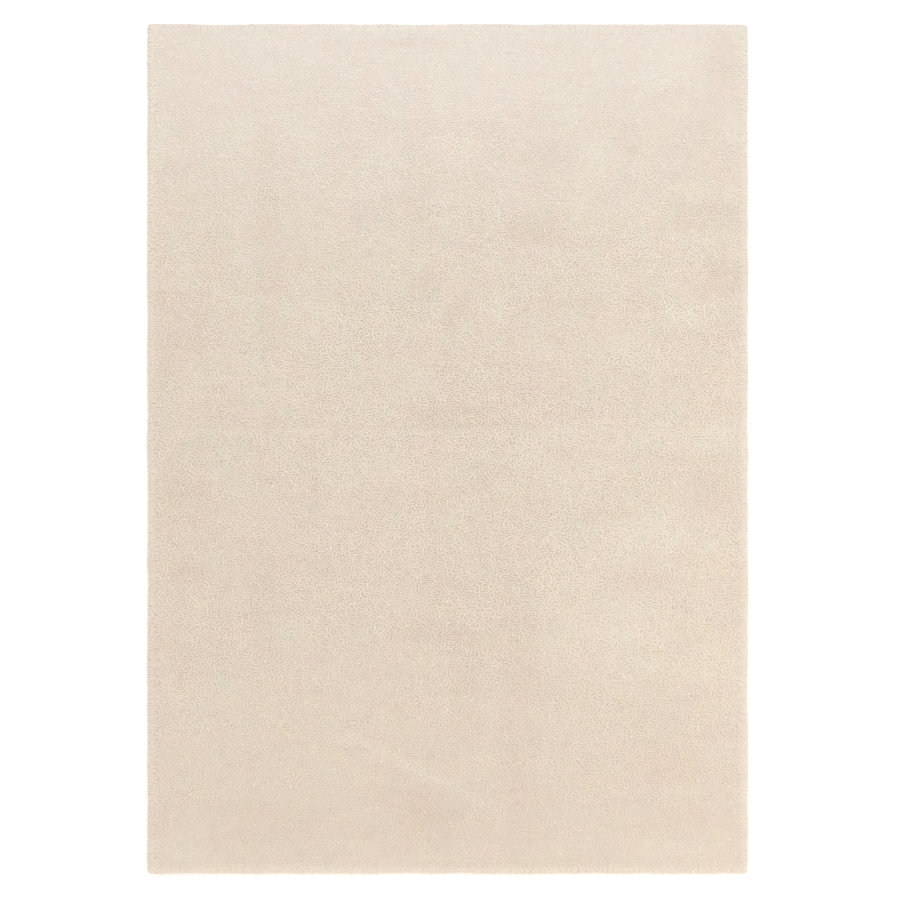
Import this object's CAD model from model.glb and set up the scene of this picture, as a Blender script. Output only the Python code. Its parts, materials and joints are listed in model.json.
# %% [markdown]
# # A cream plush rug, tuft by tuft
#
# The rug in this lesson is a flat rectangle of 120 by 170 cm with a short, dense, soft pile. It is one piece
# of cloth: a woven ground with yarn tufted through it. The photo looks straight down on it, so it shows no
# sharp forms at all, only a fine grain, a soft rim and the faint marks of how the rug was packed.
#
# The lesson builds what a maker would know: the ground cloth, the thick of the pile, tens of thousands of
# tufts planted in rows, and the tufts that curl over the rim. First it loads the solid model as a fixed
# frame and keeps its box, so that the finished rug can be compared with it.

# %% load the frame
import json
from collections import namedtuple
from functools import partial
from math import ceil, cos, hypot, pi, radians, sin, sqrt

import bpy
import numpy as np
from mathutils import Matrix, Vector, noise

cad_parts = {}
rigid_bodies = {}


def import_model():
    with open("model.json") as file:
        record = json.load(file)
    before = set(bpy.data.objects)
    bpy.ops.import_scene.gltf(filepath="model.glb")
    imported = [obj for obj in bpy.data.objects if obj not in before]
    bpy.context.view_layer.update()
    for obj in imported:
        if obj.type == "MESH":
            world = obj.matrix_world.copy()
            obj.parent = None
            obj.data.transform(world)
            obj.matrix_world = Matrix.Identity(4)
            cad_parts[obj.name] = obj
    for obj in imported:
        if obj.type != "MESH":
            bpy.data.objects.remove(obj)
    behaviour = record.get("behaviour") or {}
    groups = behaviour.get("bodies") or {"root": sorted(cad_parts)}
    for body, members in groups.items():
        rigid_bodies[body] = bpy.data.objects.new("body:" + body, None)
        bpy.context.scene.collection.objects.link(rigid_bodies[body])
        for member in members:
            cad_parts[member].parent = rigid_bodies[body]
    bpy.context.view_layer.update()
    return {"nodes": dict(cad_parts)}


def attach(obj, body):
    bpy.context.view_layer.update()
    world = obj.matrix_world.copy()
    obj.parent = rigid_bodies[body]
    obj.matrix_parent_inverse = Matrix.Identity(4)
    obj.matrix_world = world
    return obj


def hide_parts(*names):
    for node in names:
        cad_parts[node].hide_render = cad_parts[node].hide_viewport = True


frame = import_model()
print("solids to dress:", ", ".join(frame["nodes"]))

# %% [markdown]
# ## Sizes
#
# All sizes are in metres, and a size from the workshop is written in millimetres. The ground cloth has the
# nominal size, and the pile leans 5 mm past it on every side. The tips stand 21 mm over the floor. These
# values are the same as in the solid model, so that the tufts grow where the solid is.

# %% sizes of the rug
MM = 0.001
CLOTH_WIDTH, CLOTH_LENGTH = 1200 * MM, 1700 * MM
CLOTH_THICKNESS = 2 * MM
PILE_OVERHANG = 5 * MM
HALF_WIDTH = CLOTH_WIDTH / 2 + PILE_OVERHANG
HALF_LENGTH = CLOTH_LENGTH / 2 + PILE_OVERHANG
PILE_TOP = 21 * MM
print(f"over its pile the rug is {2 * HALF_WIDTH:.3f} by {2 * HALF_LENGTH:.3f} m")

# %% [markdown]
# ## The camera
#
# A rug for sale is photographed from straight above, far enough away that its sides don't show. The photo is
# 900 pixels square and takes in 1.81 m of floor, so at 85 mm the camera hangs a little over 4 m up. It
# stands a few millimetres off the rug's middle, as the rug isn't quite in the middle of the photo.

# %% camera
FRAME_WIDTH = 1812.5 * MM
RIM_HEIGHT = 10 * MM
CAMERA_X, CAMERA_Y = 4.5 * MM, -2.2 * MM
LENS, SENSOR = 85, 36


def deselect_all():
    """Operators act on what is selected, so each step starts with nothing selected."""
    for thing in bpy.context.selected_objects:
        thing.select_set(False)


deselect_all()
camera_height = RIM_HEIGHT + FRAME_WIDTH * LENS / SENSOR
bpy.ops.object.camera_add(location=(CAMERA_X, CAMERA_Y, camera_height), rotation=(0, 0, 0))
camera = bpy.context.object
camera.name = "photo_camera"
camera.data.lens = LENS
camera.data.sensor_width = SENSOR
bpy.context.scene.camera = camera
print(f"the camera hangs {camera_height:.2f} m over the floor")

# %% [markdown]
# ## Colours and nodes
#
# Three helpers serve every material. Colours are picked on screen as sRGB hex values, but Blender adds light
# in linear values, so the first one turns a hex colour into those. The second one makes an empty material,
# and the third adds a node to it, with its settings, the values of its inputs, and the sockets that feed
# them.

# %% helpers for materials
def linear(hex_colour):
    """The linear values of an sRGB hex colour, with an alpha of 1."""
    shares = [int(hex_colour[place:place + 2], 16) / 255 for place in (1, 3, 5)]
    values = [share / 12.92 if share <= 0.04045 else ((share + 0.055) / 1.055) ** 2.4 for share in shares]
    return values + [1.0]


def new_material(name):
    """An empty node material with its output node."""
    material = bpy.data.materials.new(name)
    material.use_nodes = True
    material.node_tree.nodes.clear()
    return material


def add_node(material, kind, inputs=None, **settings):
    """Adds a node. An input gets a value, or the output socket that feeds it."""
    tree = material.node_tree
    node = tree.nodes.new(kind)
    for setting, value in settings.items():
        setattr(node, setting, value)
    for socket, value in (inputs or {}).items():
        if isinstance(value, bpy.types.NodeSocket):
            tree.links.new(value, node.inputs[socket])
        else:
            node.inputs[socket].default_value = value
    return node


print("cream yarn in linear values:", [round(value, 3) for value in linear("#DDCEBE")])

# %% [markdown]
# ## The studio
#
# The photo has a white ground without a shadow, and the rug is lit softly from all round, a little more from
# the top of the picture and from the right. A white world gives the even part. A broad sun of 30 degrees
# gives each tuft a lit and a shaded side. A low window of daylight past the top end gives that end its cool
# lift, and a screen on the right lifts that side. A white card that stands low past the bottom end throws
# light on the rim there, which turns away from the window. The floor is matt white paint, bright enough to
# lose its grain.

# %% floor and lights
FLOOR_SIZE = 14
WORLD_STRENGTH = 1.08
SUN_STRENGTH, SUN_ANGLE = 0.11 * pi, radians(30)

bpy.context.scene.view_settings.view_transform = "Standard"
white_studio_paint = new_material("white_studio_paint")
paint = add_node(white_studio_paint, "ShaderNodeBsdfPrincipled", {
    "Base Color": linear("#FBFBFA"),
    "Roughness": 0.9,
    "Specular IOR Level": 0.2,
})
add_node(white_studio_paint, "ShaderNodeOutputMaterial", {"Surface": paint.outputs["BSDF"]})

deselect_all()
bpy.ops.mesh.primitive_plane_add(size=FLOOR_SIZE, location=(0, 0, 0))
floor = bpy.context.object
floor.name = "studio_floor"
floor.data.materials.append(white_studio_paint)

world = bpy.data.worlds.new("white_studio")
world.use_nodes = True
background = world.node_tree.nodes["Background"]
background.inputs["Color"].default_value = linear("#FFFFFF")
background.inputs["Strength"].default_value = WORLD_STRENGTH
bpy.context.scene.world = world


def hang_lamp(name, kind, place, aim, colour, power, **settings):
    """Adds a lamp that shines from its place towards a point, and that the camera doesn't see."""
    deselect_all()
    bpy.ops.object.light_add(type=kind, location=place)
    lamp = bpy.context.object
    lamp.name = name
    lamp.rotation_euler = (Vector(aim) - Vector(place)).to_track_quat("-Z", "Y").to_euler()
    lamp.data.color = linear(colour)[:3]
    lamp.data.energy = power
    for setting, value in settings.items():
        setattr(lamp.data, setting, value)
    lamp.visible_camera = False


hang_lamp("broad_sun", "SUN", (0, 3, 3), (0, 0, 0), "#FFFFFF", SUN_STRENGTH, angle=SUN_ANGLE)
hang_lamp("daylight_window", "AREA", (0.1, 1.5, 0.76), (0.2, 0.55, 0), "#A9DEFC", 6.8,
          shape="RECTANGLE", size=1.8, size_y=0.5)
hang_lamp("screen_on_the_right", "AREA", (1.4, -0.4, 0.6), (0.3, -0.4, 0), "#FFF6F0", 3.2,
          shape="RECTANGLE", size=2.2, size_y=0.5)
hang_lamp("white_card_at_the_near_end", "AREA", (0.1, -1.75, 0.25), (0.1, -0.8, 0), "#FFFBF8", 2.0,
          shape="RECTANGLE", size=2.0, size_y=0.3)

# %% [markdown]
# ## How high the pile stands, and how open
#
# Pile yarn never stands quite level: it swells and sinks over a hand's width, and gathers in tussocks the
# size of a palm. The rug was also folded for its bag, once across and twice along, and each fold still shows
# as a shallow trough. All are small hills of a few millimetres, so one function of the place gives the
# height of the tips, and everything in the pile asks it. The solid model has the same ones, with the cross
# fold a bit deeper.
#
# Where the pile was smoothed by hand, its tips close over each other: the gaps between the tufts are
# shallow, so it looks light and its grain nearly vanishes. Where it stands open the gaps are deep, and the
# grain is crisp. On this rug the middle is open and both ends are smooth. A second function says how open
# the pile is, and a third how much of a tuft stands free there.

# %% height of the pile
Fold = namedtuple("Fold", "runs_along place depth half_width")
FOLDS = (
    Fold("x", 40 * MM, 2.2 * MM, 11 * MM),
    Fold("y", -272 * MM, 1.2 * MM, 26 * MM),
    Fold("y", 157 * MM, 1.2 * MM, 30 * MM),
)
SWELL_HEIGHT, SWELL_SPAN = 2.4 * MM, 260 * MM
TUSSOCK_HEIGHT, TUSSOCK_SPAN = 3.0 * MM, 85 * MM
SMOOTH_LENGTH, OPEN_LENGTH = 1.6 * MM, 3.25 * MM

# The pile is most open along one line across the rug, a little less so at the sides, and closes towards both
# ends. One spot is more open still, and ruffles run across it all.
OPEN_LINE, OPEN_SHARE, LOSS_AT_SIDES, CLOSING_POWER = -50 * MM, 0.88, 0.12, 2.2
SPOT_X, SPOT_Y, SPOT_SHARE = 70 * MM, -200 * MM, 0.18
SPOT_HALF_WIDTH, SPOT_HALF_LENGTH = 110 * MM, 320 * MM
RUFFLE_SHARE, RUFFLE_SPAN, RUFFLE_SQUEEZE, RUFFLE_LAYER = 0.3, 150 * MM, 3.5, 41.3
MOST_OPEN = 1.2


def unevenness(across, along, span, layer=0.5):
    """Smooth unevenness from about -0.7 to 0.7, with a bump or hollow in each span, others in each layer."""
    places = zip(across / span, along / span)
    return np.array([noise.noise(Vector((x, y, layer))) for x, y in places])


def pile_top(across, along):
    """Height of the pile's tips over each place on the floor."""
    height = PILE_TOP + SWELL_HEIGHT * unevenness(across, along, SWELL_SPAN)
    height += TUSSOCK_HEIGHT * unevenness(across, along, TUSSOCK_SPAN)
    for fold in FOLDS:
        off = (along if fold.runs_along == "x" else across) - fold.place
        height -= fold.depth * np.exp(-((off / fold.half_width) ** 2))
    return height


def openness(across, along):
    """How far the pile stands open, from 0 where it lies smooth to 1 and more where its gaps are deep."""
    to_end, to_side = abs(along - OPEN_LINE) / HALF_LENGTH, abs(across) / HALF_WIDTH
    spot_x, spot_y = (across - SPOT_X) / SPOT_HALF_WIDTH, (along - SPOT_Y) / SPOT_HALF_LENGTH
    spot = SPOT_SHARE * np.exp(-(spot_x ** 2) - spot_y ** 2)
    ruffled = RUFFLE_SHARE * unevenness(across, RUFFLE_SQUEEZE * along, RUFFLE_SPAN, RUFFLE_LAYER)
    unruffled = (OPEN_SHARE + spot - LOSS_AT_SIDES * to_side ** 2) * (1 - to_end ** CLOSING_POWER)
    return np.clip(unruffled + ruffled, 0, MOST_OPEN)


def free_length(across, along):
    """How much of a tuft stands free over the thick of the pile."""
    return SMOOTH_LENGTH + openness(across, along) * (OPEN_LENGTH - SMOOTH_LENGTH)


sample_x, sample_y = np.meshgrid(np.linspace(-0.55, 0.55, 12), np.linspace(-0.8, 0.8, 17))
sample_heights = pile_top(sample_x.ravel(), sample_y.ravel())
print(f"the pile stands {sample_heights.min() / MM:.1f} to {sample_heights.max() / MM:.1f} mm high")

# %% [markdown]
# ## The ground cloth
#
# The tufts are stitched into a plain woven ground of polyester, cut to a rectangle with slightly rounded
# corners. It could be a bare plane, but cloth has a thickness and a cut edge that show from the side, so a
# grid is cut out to size, its four corners are bevelled, and the Solidify modifier gives it its 2 mm.

# %% ground cloth
CORNER_RADIUS = 9 * MM
CLOTH_COLUMNS, CLOTH_ROWS = 24, 34
AT_THE_CORNER = 1 * MM


def edit(piece, select="NONE"):
    """Opens a piece in edit mode with nothing or all of it selected."""
    deselect_all()
    bpy.context.view_layer.objects.active = piece
    piece.select_set(True)
    bpy.ops.object.mode_set(mode="EDIT")
    bpy.ops.mesh.select_all(action="SELECT" if select == "ALL" else "DESELECT")


def leave_edit():
    """Returns to object mode, which writes what was edited into the piece."""
    bpy.ops.object.mode_set(mode="OBJECT")


def select_points(piece, wanted):
    """Selects the points whose place passes a test. It is called in edit mode and returns to it."""
    bpy.ops.mesh.select_mode(type="VERT")
    bpy.ops.mesh.select_all(action="DESELECT")
    leave_edit()
    for point in piece.data.vertices:
        point.select = bool(wanted(point.co))
    bpy.ops.object.mode_set(mode="EDIT")


deselect_all()
bpy.ops.mesh.primitive_grid_add(x_subdivisions=CLOTH_COLUMNS, y_subdivisions=CLOTH_ROWS, size=1,
                                location=(0, 0, CLOTH_THICKNESS))
ground_cloth = bpy.context.object
ground_cloth.name = "ground_cloth"
bpy.ops.object.transform_apply(location=True, rotation=True, scale=True)
edit(ground_cloth, select="ALL")
bpy.ops.transform.resize(value=(CLOTH_WIDTH, CLOTH_LENGTH, 1))
corner_distance = hypot(CLOTH_WIDTH, CLOTH_LENGTH) / 2
select_points(ground_cloth, lambda place: hypot(place.x, place.y) > corner_distance - AT_THE_CORNER)
bpy.ops.mesh.bevel(affect="VERTICES", offset=CORNER_RADIUS, segments=4)
leave_edit()

thickness = ground_cloth.modifiers.new("cloth_thickness", "SOLIDIFY")
thickness.thickness = CLOTH_THICKNESS
thickness.offset = -1
bpy.ops.object.modifier_apply(modifier=thickness.name)
print(f"ground cloth: {len(ground_cloth.data.polygons)} faces, {ground_cloth.dimensions.z / MM:.1f} mm thick")

# %% [markdown]
# ## The thick of the pile
#
# Under the tips the yarn stands so close that no single tuft shows. That part is one soft body. It starts as
# a grid, and its open edge is extruded outwards and down the side in a few rings, as one would draw out a
# lid. The rings pass where the tufts of the rim are rooted. Then every point is lifted to its share of the
# height of the pile, less the depth of the gaps between the tips there, and the four corners are pulled in
# to be round.

# %% pile body
GAP_IN_LENGTH = 0.8
Ring = namedtuple("Ring", "name inset height")
BODY_RINGS = (
    Ring("brow", 16 * MM, 0.97),
    Ring("shoulder", 11 * MM, 0.86),
    Ring("side", 8 * MM, 0.55),
    Ring("foot", 6.5 * MM, 0.0),
)
CROWN_INSET = 24 * MM
BODY_COLUMNS, BODY_ROWS = 84, 118
ON_THE_EDGE = 0.1 * MM


def reach(inset):
    """Width and length of a ring, which are also the factors for a grid of size 1."""
    return 2 * (HALF_WIDTH - inset), 2 * (HALF_LENGTH - inset)


deselect_all()
bpy.ops.mesh.primitive_grid_add(x_subdivisions=BODY_COLUMNS, y_subdivisions=BODY_ROWS, size=1)
pile_body = bpy.context.object
pile_body.name = "pile_body"
edit(pile_body, select="ALL")
bpy.ops.transform.resize(value=(*reach(CROWN_INSET), 1))
last_reach = reach(CROWN_INSET)
for ring in BODY_RINGS:
    limits = [size / 2 - ON_THE_EDGE for size in last_reach]
    select_points(pile_body, lambda place: abs(place.x) > limits[0] or abs(place.y) > limits[1])
    bpy.ops.mesh.extrude_region_move()
    factors = [new / old for new, old in zip(reach(ring.inset), last_reach)]
    bpy.ops.transform.resize(value=(*factors, 1))
    last_reach = reach(ring.inset)
bpy.ops.mesh.edge_face_add()
leave_edit()

points = np.array([point.co for point in pile_body.data.vertices])
insets = np.minimum(HALF_WIDTH - abs(points[:, 0]), HALF_LENGTH - abs(points[:, 1]))
ring_insets = [ring.inset for ring in reversed(BODY_RINGS)] + [CROWN_INSET]
ring_shares = [ring.height for ring in reversed(BODY_RINGS)] + [1.0]
shares = np.interp(insets, ring_insets, ring_shares)
gaps = GAP_IN_LENGTH * free_length(points[:, 0], points[:, 1])
tops = pile_top(points[:, 0], points[:, 1]) - gaps
points[:, 2] = CLOTH_THICKNESS + shares * (tops - CLOTH_THICKNESS)
pull = CORNER_RADIUS * (1 - sqrt(0.5))
for point, place in zip(pile_body.data.vertices, points):
    if max(HALF_WIDTH - abs(place[0]), HALF_LENGTH - abs(place[1])) < BODY_RINGS[0].inset + pull:
        place[:2] -= pull * np.sign(place[:2])
    point.co = place
edit(pile_body, select="ALL")
bpy.ops.mesh.normals_make_consistent(inside=False)
leave_edit()
print(f"pile body: {len(pile_body.data.polygons)} faces")

# %% [markdown]
# ## One tuft
#
# A tuft is a bundle of a few hundred fibres that spread at the tip, so from above it is a soft little dome
# that leans on its neighbours. There are tens of thousands of them, so the one that is copied has to be very
# light: a column of four sides, drawn in at the shoulder and closed in one point at the tip. Smooth shading
# makes it round. Its foot is open, because it stands inside the body of the pile. It is 1 high and about 1
# in radius, and each copy gets its real size.

# %% model one tuft
SHOULDER_HEIGHT, SHOULDER_RADIUS = 0.8, 0.62
FACES_DOWN = -0.9

deselect_all()
bpy.ops.mesh.primitive_cylinder_add(vertices=4, radius=1, depth=SHOULDER_HEIGHT,
                                    location=(0, 0, SHOULDER_HEIGHT / 2))
tuft = bpy.context.object
tuft.name = "tuft_pattern"
bpy.ops.object.transform_apply(location=True, rotation=True, scale=True)
edit(tuft)
select_points(tuft, lambda place: place.z > SHOULDER_HEIGHT / 2)
bpy.ops.transform.resize(value=(SHOULDER_RADIUS, SHOULDER_RADIUS, 1))
bpy.ops.mesh.extrude_region_move(TRANSFORM_OT_translate={"value": (0, 0, 1 - SHOULDER_HEIGHT)})
bpy.ops.mesh.merge(type="CENTER")
bpy.ops.mesh.select_mode(type="FACE")
bpy.ops.mesh.select_all(action="DESELECT")
leave_edit()
for face in tuft.data.polygons:
    face.select = face.normal.z < FACES_DOWN
bpy.ops.object.mode_set(mode="EDIT")
bpy.ops.mesh.delete(type="FACE")
bpy.ops.mesh.select_all(action="SELECT")
bpy.ops.mesh.quads_convert_to_tris()
leave_edit()
TUFT_POINTS = np.array([point.co for point in tuft.data.vertices])
TUFT_FACES = np.array([face.vertices for face in tuft.data.polygons])
bpy.data.objects.remove(tuft, do_unlink=True)
print(f"one tuft: {len(TUFT_POINTS)} points, {len(TUFT_FACES)} triangles")

# %% [markdown]
# ## Planting
#
# A bed of tufts could be instanced, but then the export has to unpack tens of thousands of objects. It is
# quicker to plant them with arrays of numbers: each tuft has a root, an axis from root to tip, and two
# vectors that give its foot a width and a turn. One multiplication places all their points, and one mesh
# takes them. Every tuft carries two numbers for its material: its tone says how light it is, and its warmth
# how red.

# %% helper that plants tufts
LOWEST_FIBRE = 0.3 * MM


def give_numbers(mesh, name, values):
    """Writes one number for each point, which a material can read by its name."""
    numbers = mesh.attributes.new(name, "FLOAT", "POINT")
    numbers.data.foreach_set("value", values.astype(np.float32))


def plant(name, roots, axes, widths, depths, tones, warmths, flat_map):
    """Joins one copy of the tuft for each root in a mesh, with its colour numbers and its own flat map."""
    count = len(roots)
    parts = [TUFT_POINTS[None, :, axis, None] * vectors[:, None, :]
             for axis, vectors in enumerate((widths, depths, axes))]
    places = roots[:, None, :] + sum(parts)
    places[..., 2] = np.maximum(places[..., 2], LOWEST_FIBRE)
    faces = TUFT_FACES[None] + (np.arange(count) * len(TUFT_POINTS))[:, None, None]
    mesh = bpy.data.meshes.new(name)
    mesh.vertices.add(count * len(TUFT_POINTS))
    mesh.vertices.foreach_set("co", places.astype(np.float32).ravel())
    mesh.loops.add(faces.size)
    mesh.loops.foreach_set("vertex_index", faces.astype(np.int32).ravel())
    mesh.polygons.add(count * len(TUFT_FACES))
    mesh.polygons.foreach_set("loop_start", np.arange(0, faces.size, 3, dtype=np.int32))
    mesh.update(calc_edges=True)
    mesh.shade_smooth()
    give_numbers(mesh, "tone", np.repeat(tones, len(TUFT_POINTS)))
    give_numbers(mesh, "warmth", np.repeat(warmths, len(TUFT_POINTS)))
    map_places = flat_map(places).reshape(-1, 2)[faces.ravel()]
    bake_map = mesh.uv_layers.new(name="OFBake")
    bake_map.data.foreach_set("uv", map_places.astype(np.float32).ravel())
    piece = bpy.data.objects.new(name, mesh)
    bpy.context.scene.collection.objects.link(piece)
    return piece


def level_feet(turns, width, depth):
    """Two level vectors for each tuft, which give its foot its width, its depth and its turn."""
    level = np.zeros(len(turns))
    widths = np.stack([width * np.cos(turns), depth * np.sin(turns), level], axis=1)
    depths = np.stack([-width * np.sin(turns), depth * np.cos(turns), level], axis=1)
    return widths, depths


print("planting works on whole arrays, so a bed of tufts takes a second")

# %% [markdown]
# ## The marks in the pile
#
# Pile that is pressed or brushed shows more of its flanks or more of its gaps, and looks lighter or darker
# for it. The rug has such marks all over. Where it lay folded in its bag, whole panels between two folds are
# pressed a little differently, with a clear straight edge. Over them lie softer marks: a light slanting
# streak where something was dragged, and smudges that hands and knees have left. Panels and smudges each get
# a table of places and sizes in millimetres, turns in degrees and tones, which is easy to read and to
# change. Under them lies the nap of the cloth itself, which comes off the machine in long faint streaks. So
# that unevenness is stretched, mostly across the rug.

# %% tones of the pile
Panel = namedtuple("Panel", "name left right near far tone")
PANELS = (
    Panel("left fold, far part", -386, -338, 184, 658, -0.018),
    Panel("left fold, near part", -399, -352, -403, -241, -0.026),
    Panel("left fold, crease", -380, -371, -240, 0, -0.024),
    Panel("far middle", -88, 257, 414, 658, -0.010),
    Panel("right fold, far crease", 126, 134, 103, 520, -0.022),
    Panel("right fold, near part", 115, 183, -840, -240, -0.018),
    Panel("right of the near fold", 183, 600, -470, -25, 0.012),
    Panel("left of the middle", -264, -81, -78, 0, 0.018),
    Panel("edge of that panel", -270, -258, -132, -60, -0.026),
    Panel("left side", -582, -474, 171, 319, -0.022),
    Panel("middle stem", 7, 67, -592, -457, -0.020),
    Panel("near left", -474, -271, -795, -714, -0.016),
    Panel("far left line", -230, 0, 814, 822, -0.040),
    Panel("far right line", 162, 257, 809, 817, -0.030),
)
PANEL_EDGE = 6 * MM
Smudge = namedtuple("Smudge", "name x y half_length half_width turn tone")
SMUDGES = (
    Smudge("fold left of the middle", -62, 530, 150, 28, 90, -0.016),
    Smudge("far right corner", 555, 786, 50, 34, 90, -0.038),
    Smudge("light beside the corner", 450, 745, 70, 60, 0, 0.024),
    Smudge("dark far end", -67, 815, 84, 14, 0, -0.026),
    Smudge("dark far end, left", -232, 808, 50, 18, 0, -0.028),
    Smudge("light far end", 126, 775, 50, 16, 0, 0.028),
    Smudge("light left rim, far", -580, 621, 58, 14, 90, 0.030),
    Smudge("light left edge, far", -559, 631, 62, 24, 90, 0.030),
    Smudge("light right edge, far", 572, 643, 50, 16, 90, 0.036),
    Smudge("light palm, far left", 20, 590, 52, 30, 0, 0.034),
    Smudge("light palm, far right", 304, 594, 42, 26, 0, 0.034),
    Smudge("dark beside the far palm", 352, 603, 34, 14, 0, -0.030),
    Smudge("dark line, far left", -529, 463, 36, 14, 0, -0.028),
    Smudge("light left of the fold", -395, 385, 50, 40, 0, 0.022),
    Smudge("dark palm", 176, 441, 56, 34, 0, -0.042),
    Smudge("light right of the palm", 386, 410, 34, 24, 0, 0.032),
    Smudge("dark edge, far right", 508, 468, 76, 28, 0, -0.034),
    Smudge("dark edge, right", 561, 346, 36, 40, 0, -0.038),
    Smudge("light right edge", 574, 372, 30, 12, 90, 0.026),
    Smudge("dark spot, right", 514, 320, 26, 20, 0, -0.034),
    Smudge("dark spot, left of it", 398, 305, 26, 22, 0, -0.036),
    Smudge("dark finger, left", -51, 320, 26, 46, -35, -0.050),
    Smudge("dark finger, right", 14, 272, 22, 48, -20, -0.042),
    Smudge("dark finger, low", -4, 158, 26, 14, 0, -0.034),
    Smudge("dark heel at the cross fold", -4, 74, 76, 26, 0, -0.040),
    Smudge("dark left side, low", -528, -85, 56, 50, 0, -0.026),
    Smudge("dark left side, lowest", -521, -246, 36, 26, 0, -0.042),
    Smudge("light patches, right", 480, 268, 40, 20, 0, 0.032),
    Smudge("dark line beside the fingers", 250, 298, 84, 18, 0, -0.030),
    Smudge("dark left edge", -566, 157, 46, 22, 90, -0.028),
    Smudge("small dark spot, right edge", 559, 227, 26, 16, 0, -0.028),
    Smudge("light left of the streak", 208, 190, 34, 20, 0, 0.028),
    Smudge("light right of the cross fold", 545, 34, 44, 18, 0, 0.028),
    Smudge("light under the cross fold", 165, -20, 42, 42, 0, 0.030),
    Smudge("light over the cross fold", 228, 36, 36, 18, 0, 0.026),
    Smudge("light streak, right", 325, 204, 76, 20, 0, 0.026),
    Smudge("light patch under it", 286, 160, 40, 18, 0, 0.032),
    Smudge("light line of the cross fold", 390, 47, 210, 11, 0, 0.026),
    Smudge("light bank of the cross fold", 440, 10, 170, 30, 0, 0.030),
    Smudge("light patch, far left", -467, -30, 28, 40, 0, 0.026),
    Smudge("dark edge under the fold", 532, -84, 50, 60, 0, -0.038),
    Smudge("dark over the upper knee", 322, -128, 50, 24, 10, -0.030),
    Smudge("upper knee", 385, -182, 104, 36, 17, 0.042),
    Smudge("light line, middle", -44, -198, 42, 14, 0, 0.028),
    Smudge("between the knees", 395, -262, 60, 16, 0, -0.024),
    Smudge("light patch beside the knees", 180, -308, 46, 24, 0, 0.032),
    Smudge("lower knee", 345, -362, 112, 62, -12, 0.034),
    Smudge("light right side", 545, -440, 70, 60, -30, 0.020),
    Smudge("light thread", -68, -262, 80, 12, 90, 0.024),
    Smudge("dark strip", -27, -370, 112, 20, 0, -0.040),
    Smudge("light strip, left", -505, -505, 100, 34, 0, 0.020),
    Smudge("dragged corner", -70, -642, 178, 13, -26, 0.042),
    Smudge("light beside the near fold", 184, -632, 30, 28, 0, 0.028),
    Smudge("dark spot on the left fold", -383, -629, 28, 26, 0, -0.028),
    Smudge("dark near end, left", -140, -720, 260, 72, 0, -0.018),
    Smudge("light spot on the near edge", 169, -822, 26, 14, 0, 0.034),
    Smudge("dark beside the streak", -34, -740, 52, 52, 0, -0.030),
    Smudge("dark near end, middle", 18, -778, 80, 18, 0, -0.018),
    Smudge("dark near right", 466, -654, 74, 90, 0, -0.018),
    Smudge("light spot, near right", 453, -689, 34, 18, 0, 0.030),
    Smudge("dark right edge, near", 568, -697, 66, 16, 90, -0.032),
    Smudge("light near left corner", -555, -812, 56, 26, 0, 0.030),
    Smudge("light near right corner", 490, -800, 96, 26, 0, 0.028),
)
Streak = namedtuple("Streak", "span_x span_y strength")
STREAKS = (
    Streak(260 * MM, 120 * MM, 0.014),
    Streak(170 * MM, 26 * MM, 0.014),
    Streak(70 * MM, 15 * MM, 0.010),
    Streak(30 * MM, 190 * MM, 0.008),
)
FIRST_STREAK_LAYER, STREAK_LAYER_STEP = 7.3, 3


def between(places, low, high):
    """1 between two lines and 0 outside them, with a soft edge."""
    return 0.5 * (np.tanh((places - low * MM) / PANEL_EDGE) - np.tanh((places - high * MM) / PANEL_EDGE))


def tone_of(across, along):
    """Lightness of the pile at each place, where 1 is the plain yarn."""
    tone = np.ones(len(across))
    for panel in PANELS:
        tone += panel.tone * between(across, panel.left, panel.right) * between(along, panel.near, panel.far)
    for smudge in SMUDGES:
        turn = radians(smudge.turn)
        off_x, off_y = across - smudge.x * MM, along - smudge.y * MM
        length = (off_x * cos(turn) + off_y * sin(turn)) / (smudge.half_length * MM)
        width = (off_y * cos(turn) - off_x * sin(turn)) / (smudge.half_width * MM)
        tone += smudge.tone * np.exp(-(length ** 4) - width ** 2)
    for number, streak in enumerate(STREAKS):
        squeezed = along * streak.span_x / streak.span_y
        layer = FIRST_STREAK_LAYER + STREAK_LAYER_STEP * number
        tone += streak.strength * unevenness(across, squeezed, streak.span_x, layer)
    return tone


print(f"tone in the middle of the rug: {tone_of(np.zeros(1), np.zeros(1))[0]:.3f}")

# %% [markdown]
# ## The field of tufts
#
# Tufting machines stitch in rows, and the steam that opens the yarn afterwards pushes the tufts out of line,
# so the grain is fine and even but has no pattern. Here the rows run across the rug, 4.5 mm apart, with a
# tuft every 6.45 mm, and each tuft is moved, turned and tilted by a seeded dice. Then the tufts push each
# other apart a little, as steam does, and that closes the holes and opens the crowds that a dice leaves.

# %% place the tufts of the field
ROW_PITCH, TUFT_PITCH = 4.5 * MM, 6.45 * MM
FIELD_INSET = 21 * MM
LOOSENESS = 0.65
PUSH_ROUNDS, PUSH_REACH, PUSH_SHARE, CLOSEST = 5, 1.06, 0.25, 0.01
LEAN_OUT, LEAN_START, LEAN_SPAN = 0.12, 50 * MM, 30 * MM
SINGLE_LEAN_X, SINGLE_LEAN_Y = 0.10, 0.05
NAP_LEAN, NAP_SPAN, NAP_LAYERS = 0.08, 60 * MM, (21.1, 33.7)
NEIGHBOURS = [(row, place) for row in (0, 1, 2) for place in (-2, -1, 0, 1, 2) if (row, place) > (0, 0)]
dice = np.random.default_rng(11)


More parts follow.
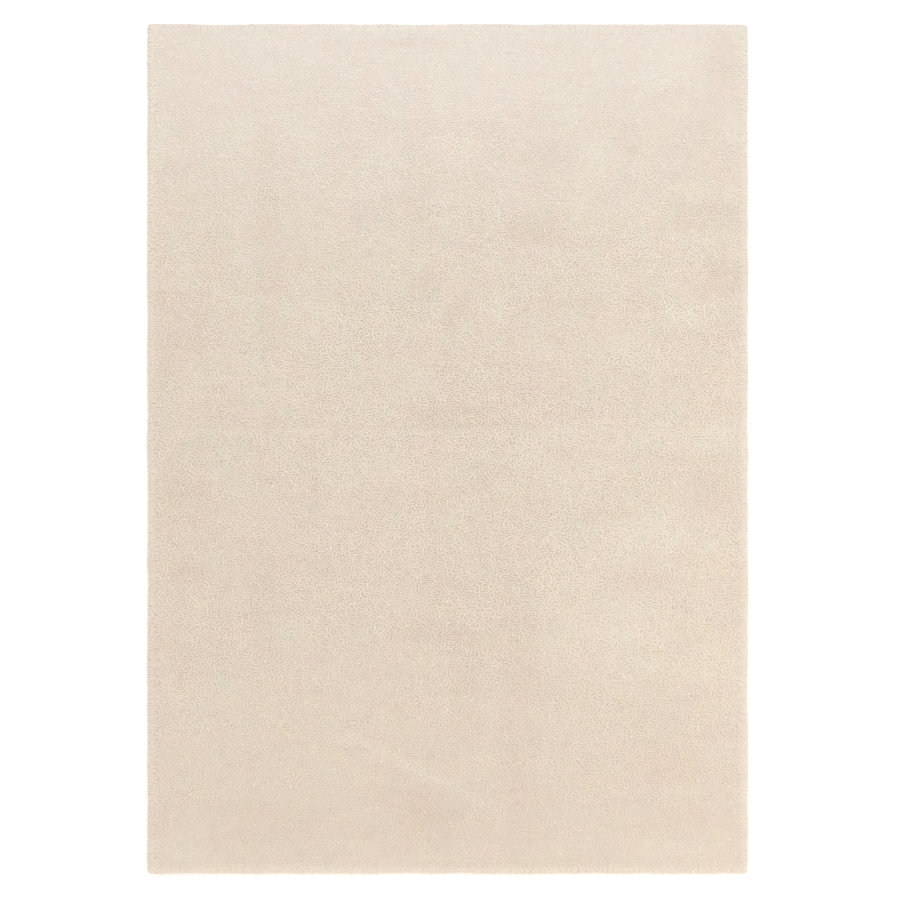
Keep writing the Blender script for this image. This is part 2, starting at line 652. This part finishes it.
def push_apart(places):
    """Lets tufts push their neighbours away. Places are in rows, measured in steps of the two pitches."""
    for _ in range(PUSH_ROUNDS):
        push = np.zeros_like(places)
        for step in NEIGHBOURS:
            gap = places - np.roll(places, step, axis=(0, 1))
            distance = np.maximum(np.linalg.norm(gap, axis=2, keepdims=True), CLOSEST)
            share = PUSH_SHARE * np.clip(PUSH_REACH - distance, 0, None) * gap / distance
            push += share - np.roll(share, (-step[0], -step[1]), axis=(0, 1))
        places = places + push
    return places


row_count = round(2 * (HALF_LENGTH - FIELD_INSET) / ROW_PITCH)
row_length = round(2 * (HALF_WIDTH - FIELD_INSET) / TUFT_PITCH)
steps = np.stack(np.meshgrid(np.arange(row_length, dtype=float), np.arange(row_count, dtype=float)), axis=2)
steps[1::2, :, 0] += 0.5
steps = push_apart(steps + LOOSENESS * dice.uniform(-1, 1, steps.shape))
field_x = (steps[..., 0].ravel() - row_length / 2 + 0.25) * TUFT_PITCH
field_y = (steps[..., 1].ravel() - row_count / 2 + 0.5) * ROW_PITCH
count = len(field_x)

inset = np.minimum(HALF_WIDTH - abs(field_x), HALF_LENGTH - abs(field_y))
lean_out = LEAN_OUT * np.clip((LEAN_START - inset) / LEAN_SPAN, 0, 1)
out_x = np.where(HALF_WIDTH - abs(field_x) < HALF_LENGTH - abs(field_y), np.sign(field_x), 0)
out_y = np.where(out_x == 0, np.sign(field_y), 0)
nap_x, nap_y = (NAP_LEAN * unevenness(field_x, field_y, NAP_SPAN, layer) for layer in NAP_LAYERS)
lean_x = out_x * lean_out + dice.normal(0, SINGLE_LEAN_X, count) + nap_x
lean_y = out_y * lean_out + dice.normal(0, SINGLE_LEAN_Y, count) + nap_y
print(f"{count} tufts in the field")

# %% [markdown]
# In smooth pile the tufts stand free for only a millimetre and a half, and their tips are even. In open pile
# they stand free for twice as much, and their tips are uneven. So each tuft gets a foot, a length and a tip
# that depend on how open the pile is there. A mark from the tables is made in two ways: part of its tone
# comes from the yarn, and part from the width of the tufts. Deep gaps swallow light, so the tufts of open
# pile are a little lighter themselves, which keeps the rug even. Dark marks are redder than light ones,
# since light that gets deep between the fibres comes out warm.
#
# At the edge the tips stand in the open, and light passes through them. There the pile is a little lighter,
# most of all along the near end. The far end already gets too much light from the window, so its yarn is
# darker. The rim also faces the coloured lights, which tint it more than they should, and warmer or cooler
# yarn takes that back. A small table says how much at each side and how far in.

# %% open and smooth pile
SMOOTH_FOOT, OPEN_FOOT = 0.82, 0.85
MARK_IN_FOOT, MARK_IN_YARN = 1.5, 0.7
OPEN_TONE, OPEN_WARMTH = 0.072, -0.12
PLAIN_WARMTH, WARMTH_OF_MARK = 0.5, -3.2
YARN_SPREAD = 0.004
SMOOTH_TIPS, OPEN_TIPS, TIP_SPREAD = 0.05 * MM, 0.3 * MM, 0.75
Lift = namedtuple("Lift", "side tone warmth fade")
EDGE_LIFTS = (
    Lift("left", 0.055, 0.0, 30 * MM),
    Lift("right", 0.04, -0.20, 32 * MM),
    Lift("near", 0.115, -0.12, 24 * MM),
    Lift("far", -0.08, 0.35, 17 * MM),
)


def edge_lift(across, along, kind):
    """How much lighter or warmer the pile is beside the rug's four sides."""
    insets = (HALF_WIDTH + across, HALF_WIDTH - across, HALF_LENGTH + along, HALF_LENGTH - along)
    amounts = [getattr(lift, kind) for lift in EDGE_LIFTS]
    parts = [amount * np.clip(1 - inset / lift.fade, 0, 1)
             for amount, lift, inset in zip(amounts, EDGE_LIFTS, insets)]
    return np.clip(sum(parts), None, max(amounts))


opened = openness(field_x, field_y)
marks = tone_of(field_x, field_y) - 1
lengths = free_length(field_x, field_y)
foot_shares = SMOOTH_FOOT + opened * (OPEN_FOOT - SMOOTH_FOOT) + MARK_IN_FOOT * marks
tones = 1 + MARK_IN_YARN * marks + OPEN_TONE * (opened - opened.mean()) + dice.normal(0, YARN_SPREAD, count)
tones += edge_lift(field_x, field_y, "tone")
warmths = PLAIN_WARMTH + WARMTH_OF_MARK * marks + OPEN_WARMTH * (opened - opened.mean())
warmths += edge_lift(field_x, field_y, "warmth")
tips = pile_top(field_x, field_y)
tips += (SMOOTH_TIPS + OPEN_TIPS * opened) * dice.laplace(0, TIP_SPREAD, count)
print(f"tufts' feet: {foot_shares.min():.2f} to {foot_shares.max():.2f} of their cells")

# %% [markdown]
# A few tufts stand out singly. In open pile about one in forty has a cut end that faces the light and shows
# as a light fleck, and as many have sunk between their neighbours and show as a dark one. They are what
# makes a real pile sparkle when one looks closely. Where it lies smooth there are about a third as many.

# %% flecks
FLECK_SHARE, FLECK_TONE = 0.025, 0.07
SMOOTH_FLECKS, OPEN_FLECKS = 0.3, 0.7
RAISED, SUNK = 0.4 * MM, 0.8 * MM
fleck_dice = np.random.default_rng(23)
frequent = SMOOTH_FLECKS + OPEN_FLECKS * opened
drawn = fleck_dice.uniform(0, 1, count) / frequent
light, dark = drawn < FLECK_SHARE, drawn > 1 / frequent - FLECK_SHARE
tones += FLECK_TONE * (light * 1.0 - dark * 1.0)
tips += RAISED * light - SUNK * dark
print(f"{light.sum()} light flecks and {dark.sum()} dark ones")

# %% [markdown]
# Here and there the pile has parted: a short dark crack, one to three centimetres long, where the tufts on
# both sides lean away and the gap between them shows. Partings come in groups where the rug was bent or
# gripped. The table gives each group's middle and spread in millimetres, its number of partings and their
# slant in degrees, and the dice does the rest.

# %% part the pile
Group = namedtuple("Group", "x y spread_x spread_y number slant")
PARTINGS = (
    Group(-183, 573, 45, 20, 7, -25),
    Group(-210, 455, 55, 45, 12, -10),
    Group(358, 618, 38, 12, 6, -20),
    Group(526, 641, 6, 4, 1, 0),
    Group(-50, 300, 30, 60, 7, 0),
    Group(-200, 42, 220, 3, 9, 0),
    Group(0, 66, 60, 12, 6, 0),
    Group(500, -330, 90, 60, 6, 10),
    Group(380, -560, 120, 60, 8, -30),
    Group(0, 200, 560, 560, 34, 0),
    Group(0, -500, 560, 300, 14, 0),
)
GAP_WIDTH, GAP_DEPTH, GAP_TONE = 2.4 * MM, 0.7 * MM, -0.10
PARTING_LEAN, PARTING_REACH = 0.45, 5 * MM
PARTING_HALF_LENGTHS, PARTING_STRENGTHS, SLANT_SPREAD = (5, 13), (0.4, 1.0), 14
WIGGLE, WIGGLE_TURNS = 0.8 * MM, 4
parting_count = 0
for group in PARTINGS:
    for _ in range(group.number):
        middle_x = (group.x + group.spread_x * dice.uniform(-1, 1)) * MM
        middle_y = (group.y + group.spread_y * dice.uniform(-1, 1)) * MM
        half_length = dice.uniform(*PARTING_HALF_LENGTHS) * MM
        turn = radians(group.slant + dice.normal(0, SLANT_SPREAD))
        strength = dice.uniform(*PARTING_STRENGTHS)
        off_x, off_y = field_x - middle_x, field_y - middle_y
        length = (off_x * cos(turn) + off_y * sin(turn)) / half_length
        width = off_y * cos(turn) - off_x * sin(turn) + WIGGLE * np.sin(length * WIGGLE_TURNS)
        near = strength * np.exp(-(length ** 4))
        gap = near * np.exp(-((width / GAP_WIDTH) ** 2))
        tones += GAP_TONE * gap
        tips -= GAP_DEPTH * gap
        away = PARTING_LEAN * near * np.sign(width) * np.exp(-((width / PARTING_REACH) ** 2))
        lean_x -= away * sin(turn)
        lean_y += away * cos(turn)
        parting_count += 1
print(f"{parting_count} partings")

# %% [markdown]
# Now all the numbers of the field are known, and the tufts can be planted. Their feet lie level inside the
# thick of the pile, so none of them shows its open underside, and only the tips go up and down. They are
# joined in six patches, two across and three along, so that no piece gets too heavy. Each patch brings a
# flat map of itself as seen from above, for baking its colour.

# %% plant the patches
LEAST_FREE = 0.6
SIZE_SPREAD, STRETCH_SPREAD = 0.03, 0.2
PATCH_COLUMNS, PATCH_ROWS = 2, 3

feet = np.minimum(pile_top(field_x, field_y) - lengths, tips - LEAST_FREE * lengths)
axes = np.stack([lean_x * lengths, lean_y * lengths, tips - feet], axis=1)
roots = np.stack([field_x, field_y, feet], axis=1)
sizes = foot_shares * dice.normal(1, SIZE_SPREAD, count)
stretch = np.exp(dice.normal(0, STRETCH_SPREAD, count))
turns = dice.uniform(0, 2 * pi, count)
widths, depths = level_feet(turns, TUFT_PITCH * sizes * stretch, ROW_PITCH * sizes / stretch)

column = np.clip(((field_x / HALF_WIDTH + 1) / 2 * PATCH_COLUMNS).astype(int), 0, PATCH_COLUMNS - 1)
row = np.clip(((field_y / HALF_LENGTH + 1) / 2 * PATCH_ROWS).astype(int), 0, PATCH_ROWS - 1)


def seen_from_above(places):
    """A map of a patch as it is seen from above, fitted into the unit square."""
    flat = places[..., :2]
    low, high = flat.min(axis=(0, 1)), flat.max(axis=(0, 1))
    return (flat - low) / (high - low)


pile = []
for number in range(PATCH_COLUMNS * PATCH_ROWS):
    mine = row * PATCH_COLUMNS + column == number
    values = [numbers[mine] for numbers in (roots, axes, widths, depths, tones, warmths)]
    pile.append(plant(f"pile_patch_{number + 1}", *values, seen_from_above))
print(f"{len(pile)} patches, {count * len(TUFT_FACES)} triangles")

# %% [markdown]
# ## The rim
#
# At the edge nothing holds the tufts up from outside, so they fan out over the side of the cloth and curl
# down to the floor. Each row of the rim has a place for its roots and one for its tips, as an inset from the
# rug's reach and a share of its height, and runs once round a rectangle with rounded corners. The steps are
# measured at the tips, so the tufts fan out round a corner. The feet of the innermost rows lie level, as in
# the field, and further out they turn to face the side. Each row starts a little further on than the last,
# so that no gaps line up. The reach wanders by a millimetre or two, since the edge is trimmed by hand. The
# inner rows have narrower feet and a slightly darker tone, which hides where the field ends. A view from
# above would fold the rim's map over itself, so there each tuft gets a small square of its own.

# %% plant the rim
RimRow = namedtuple("RimRow", "root_inset root_share tip_inset tip_share")
RIM_ROWS = (
    RimRow(20.0, 0.885, 19.0, 1.000),
    RimRow(16.5, 0.860, 14.4, 0.990),
    RimRow(13.4, 0.820, 10.0, 0.965),
    RimRow(11.0, 0.760, 6.0, 0.905),
    RimRow(9.4, 0.670, 2.8, 0.800),
    RimRow(8.4, 0.560, 1.0, 0.660),
    RimRow(7.8, 0.440, 0.2, 0.500),
    RimRow(7.3, 0.320, 0.6, 0.340),
    RimRow(6.9, 0.220, 1.6, 0.200),
)
RIM_PITCH = 4.9 * MM
ROW_STEP = 0.382
SIDE_JITTER = 0.25
SHARPEST_CORNER = 2 * MM
INNER_FOOT, OUTER_FOOT, FOOT_SPREAD = 4.6 * MM, 6.0 * MM, 0.06
RIM_WANDER, RIM_WANDER_SPAN = 2.4 * MM, 60 * MM
FINE_WANDER, FINE_WANDER_SPAN, FINE_WANDER_LAYER = 0.8 * MM, 17 * MM, 4.2
END_REACH = 0.9 * MM
INNER_REACH_SPREAD, OUTER_REACH_SPREAD = 0.9 * MM, 0.3 * MM
RIM_TIP_SPREAD, RIM_SIDE_SPREAD = 0.3 * MM, 0.4 * MM
OUTER_TONE_INSET, INNER_TONE_INSET = 6, 19
INNER_TONE, OUTER_TONE = -0.055, 0.008
RIM_YARN_SPREAD = 0.005
LEVEL_ROWS = 4
SQUARE_FILL = 0.46


def in_own_square(places):
    """A map with a small square for each tuft, in which it is seen along its own axis."""
    side = ceil(sqrt(len(places)))
    squares = np.stack(np.divmod(np.arange(len(places)), side), axis=1)
    return (squares[:, None] + 0.5 + SQUARE_FILL * TUFT_POINTS[None, :, :2]) / side


def round_the_rim(inset, number, start):
    """Places and outward directions at even steps round the rug, on a rounded rectangle inside its reach."""
    radius = max(CORNER_RADIUS - inset, SHARPEST_CORNER)
    straight_x = 2 * (HALF_WIDTH - inset - radius)
    straight_y = 2 * (HALF_LENGTH - inset - radius)
    arc = radius * pi / 2
    total = 2 * (straight_x + straight_y + 2 * arc)
    distances = (np.arange(number) + start) * total / number
    places, ways = [], []
    for distance in distances:
        turn = 0.0
        corner = Vector((-straight_x / 2, -straight_y / 2))
        for straight in (straight_x, straight_y, straight_x, straight_y):
            onward = Vector((cos(turn), sin(turn)))
            out = Vector((onward.y, -onward.x))
            if distance <= straight:
                places.append(corner + onward * distance + out * radius)
                ways.append(out)
                break
            distance -= straight
            corner = corner + onward * straight
            if distance <= arc:
                swing = turn - pi / 2 + distance / radius
                way = Vector((cos(swing), sin(swing)))
                places.append(corner + way * radius)
                ways.append(way)
                break
            distance -= arc
            turn += pi / 2
        else:
            places.append(corner + out * radius)
            ways.append(out)
    return np.array(places), np.array(ways)


def grow_row(number, rim_row):
    """A row's roots and axes, the way its feet face, their level sides, and the tufts' tones and warmths."""
    fan = rim_row.root_inset - rim_row.tip_inset
    places, ways = round_the_rim(rim_row.tip_inset * MM, rim_count, start=ROW_STEP * number % 1)
    places = places - ways * fan * MM
    along = np.stack([-ways[:, 1], ways[:, 0]], axis=1)
    places = places + along * dice.uniform(-SIDE_JITTER, SIDE_JITTER, rim_count)[:, None] * RIM_PITCH
    root_x, root_y = places.T
    heights = pile_top(root_x, root_y)
    edge = number / (len(RIM_ROWS) - 1)
    wander = edge * RIM_WANDER * unevenness(root_x, root_y, RIM_WANDER_SPAN)
    wander += edge * FINE_WANDER * unevenness(root_x, root_y, FINE_WANDER_SPAN, FINE_WANDER_LAYER)
    wander += min(2 * edge, 1) * END_REACH * abs(ways[:, 1])
    reach_spread = INNER_REACH_SPREAD + edge * (OUTER_REACH_SPREAD - INNER_REACH_SPREAD)
    uneven = dice.normal(0, reach_spread, rim_count)
    outwards = fan * MM + wander + uneven
    deeper = GAP_IN_LENGTH * (free_length(root_x, root_y) - SMOOTH_LENGTH)
    root_z = rim_row.root_share * (heights - deeper)
    tip_z = rim_row.tip_share * heights + dice.normal(0, RIM_TIP_SPREAD, rim_count)
    sideways = dice.normal(0, RIM_SIDE_SPREAD, rim_count) * (0.5 + edge)
    axis_flat = ways * outwards[:, None] + along * sideways[:, None]
    tip_x, tip_y = (places + axis_flat).T
    row_marks = tone_of(tip_x, tip_y) - 1
    row_tone = np.interp(rim_row.tip_inset, (OUTER_TONE_INSET, INNER_TONE_INSET), (OUTER_TONE, INNER_TONE))
    row_tones = 1 + row_tone + row_marks + edge_lift(tip_x, tip_y, "tone")
    return (
        np.column_stack([places, root_z]),
        np.column_stack([axis_flat, tip_z - root_z]),
        np.column_stack([min(number / LEVEL_ROWS, 1) * axis_flat, tip_z - root_z]),
        np.column_stack([along, np.zeros(rim_count)]),
        row_tones + dice.normal(0, RIM_YARN_SPREAD, rim_count),
        PLAIN_WARMTH + WARMTH_OF_MARK * row_marks + edge_lift(tip_x, tip_y, "warmth"),
    )


rim_count = round(2 * (CLOTH_WIDTH + CLOTH_LENGTH) / RIM_PITCH)
rows = [grow_row(number, rim_row) for number, rim_row in enumerate(RIM_ROWS)]
rim_roots, rim_axes, rim_facings, rim_sides, rim_tones, rim_warmths = map(np.concatenate, zip(*rows))
rim_up = np.cross(rim_facings, rim_sides)
rim_up /= np.linalg.norm(rim_up, axis=1, keepdims=True)
swing = dice.uniform(0, 2 * pi, len(rim_roots))
foot = np.repeat(np.linspace(INNER_FOOT, OUTER_FOOT, len(RIM_ROWS)), rim_count)
foot *= dice.normal(1, FOOT_SPREAD, len(rim_roots))
rim_widths = foot[:, None] * (np.cos(swing)[:, None] * rim_sides + np.sin(swing)[:, None] * rim_up)
rim_depths = foot[:, None] * (np.cos(swing)[:, None] * rim_up - np.sin(swing)[:, None] * rim_sides)
rim_values = (rim_roots, rim_axes, rim_widths, rim_depths, rim_tones, rim_warmths)
pile.append(plant("pile_rim", *rim_values, in_own_square))
print(f"{len(rim_roots)} tufts round the rim, {len(rim_roots) * len(TUFT_FACES)} triangles")

# %% [markdown]
# ## Materials
#
# The pile is matt polyester yarn, spun from crimped fibre and set by heat. It has no shine of its own, but
# the fibres that stand out of each tuft catch light at a low angle, so it gets a soft sheen. Single fibres
# are far too fine to show, so the bump is drawn at 1.2 mm, about the thickness of a ply of the yarn.
#
# The warmth of each tuft mixes a cool and a warm cream of the same lightness, and its tone makes the mixture
# lighter or darker. The dye takes a little unevenly too, which is a soft drift over a few centimetres: one
# part of a coloured noise goes from rosy to greenish, and another from yellowish to bluish.

# %% yarn
PLY = 1.2 * MM
DRIFT = 45 * MM
cream_polyester_yarn = new_material("cream_polyester_yarn")
yarn_node = partial(add_node, cream_polyester_yarn)
tone_value = yarn_node("ShaderNodeAttribute", attribute_name="tone")
warmth_value = yarn_node("ShaderNodeAttribute", attribute_name="warmth")
yarn_place = yarn_node("ShaderNodeTexCoord")
cream = yarn_node("ShaderNodeMix", {
    "Factor": warmth_value.outputs["Fac"], "A": linear("#D8D0C0"), "B": linear("#E2CCBC")},
    data_type="RGBA", clamp_factor=False)
dye = yarn_node("ShaderNodeTexNoise", {
    "Vector": yarn_place.outputs["Object"], "Scale": 1 / DRIFT, "Detail": 3.0, "Roughness": 0.6})
dye_parts = yarn_node("ShaderNodeSeparateColor", {"Color": dye.outputs["Color"]})
rosy_or_green = yarn_node("ShaderNodeMix", {
    "Factor": dye_parts.outputs["Red"], "A": linear("#FFF8FB"), "B": linear("#F9FFFD")}, data_type="RGBA")
yellow_or_blue = yarn_node("ShaderNodeMix", {
    "Factor": dye_parts.outputs["Blue"], "A": linear("#FFFFFA"), "B": linear("#FBFBFF")}, data_type="RGBA")
dye_tint = yarn_node("ShaderNodeVectorMath", {
    0: rosy_or_green.outputs["Result"], 1: yellow_or_blue.outputs["Result"]}, operation="MULTIPLY")
dyed = yarn_node("ShaderNodeVectorMath", {
    0: cream.outputs["Result"], 1: dye_tint.outputs["Vector"]}, operation="MULTIPLY")
toned = yarn_node("ShaderNodeVectorMath", {
    0: dyed.outputs["Vector"], "Scale": tone_value.outputs["Fac"]}, operation="SCALE")
fibres = yarn_node("ShaderNodeTexNoise", {
    "Vector": yarn_place.outputs["Object"], "Scale": 1 / PLY, "Detail": 2.0, "Roughness": 0.6})
fibre_bump = yarn_node("ShaderNodeBump", {
    "Height": fibres.outputs["Fac"], "Strength": 0.35, "Distance": 0.4 * MM})
yarn = yarn_node("ShaderNodeBsdfPrincipled", {
    "Base Color": toned.outputs["Vector"],
    "Normal": fibre_bump.outputs["Normal"],
    "Roughness": 0.95,
    "Specular IOR Level": 0.25,
    "Sheen Weight": 0.15,
    "Sheen Roughness": 0.5,
})
yarn_node("ShaderNodeOutputMaterial", {"Surface": yarn.outputs["BSDF"]})

body_marks = tone_of(points[:, 0], points[:, 1]) - 1
give_numbers(pile_body.data, "tone", 1 + body_marks)
give_numbers(pile_body.data, "warmth", PLAIN_WARMTH + WARMTH_OF_MARK * body_marks)
pile_body.data.shade_smooth()
for piece in (*pile, pile_body):
    piece.data.materials.append(cream_polyester_yarn)
print("yarn on", len(pile) + 1, "pieces")

# %% [markdown]
# The ground is a plain weave of undyed polyester thread. On such a cloth the threads are about 1.5 mm apart.
# They are drawn at 3 mm, so that the weave still shows from a metre away. Two waves, one along each thread
# direction, are multiplied, which gives the over and under of a plain weave.

# %% ground weave
THREAD_PITCH = 3 * MM
BAND_AT_SCALE_1 = pi / 10
woven_polyester_ground = new_material("woven_polyester_ground")
weave_node = partial(add_node, woven_polyester_ground)
cloth_place = weave_node("ShaderNodeTexCoord")
weft, warp = (weave_node("ShaderNodeTexWave", {
    "Vector": cloth_place.outputs["Object"], "Scale": BAND_AT_SCALE_1 / THREAD_PITCH, "Distortion": 0.4},
    bands_direction=direction) for direction in "XY")
crossing = weave_node("ShaderNodeMath", {
    0: weft.outputs["Fac"], 1: warp.outputs["Fac"]}, operation="MULTIPLY")
thread_colour = weave_node("ShaderNodeMix", {
    "Factor": crossing.outputs["Value"], "A": linear("#CDBFA9"), "B": linear("#E2D6C2")}, data_type="RGBA")
thread_bump = weave_node("ShaderNodeBump", {
    "Height": crossing.outputs["Value"], "Strength": 0.6, "Distance": 0.5 * MM})
ground = weave_node("ShaderNodeBsdfPrincipled", {
    "Base Color": thread_colour.outputs["Result"],
    "Normal": thread_bump.outputs["Normal"],
    "Roughness": 0.8,
    "Specular IOR Level": 0.3,
})
weave_node("ShaderNodeOutputMaterial", {"Surface": ground.outputs["BSDF"]})
ground_cloth.data.materials.append(woven_polyester_ground)
print("thread pitch:", round(THREAD_PITCH / MM, 2), "mm")

# %% [markdown]
# ## Joining it to the frame
#
# Every piece rides on the rug's one body, takes its finish from the record's pile slot, and stands for the
# solid rug. The ground is declared as a sheet that was cut to 1.2 by 1.7 m and is laid on the floor, with
# the pile on it. The floor is only the stage.

# %% ride, declare and finish
for piece in (ground_cloth, pile_body, *pile):
    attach(piece, "root")
    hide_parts("rug")

triangles = 0
for piece in (ground_cloth, pile_body, *pile):
    piece.data.calc_loop_triangles()
    triangles += len(piece.data.loop_triangles)
print(f"{triangles} triangles in all")
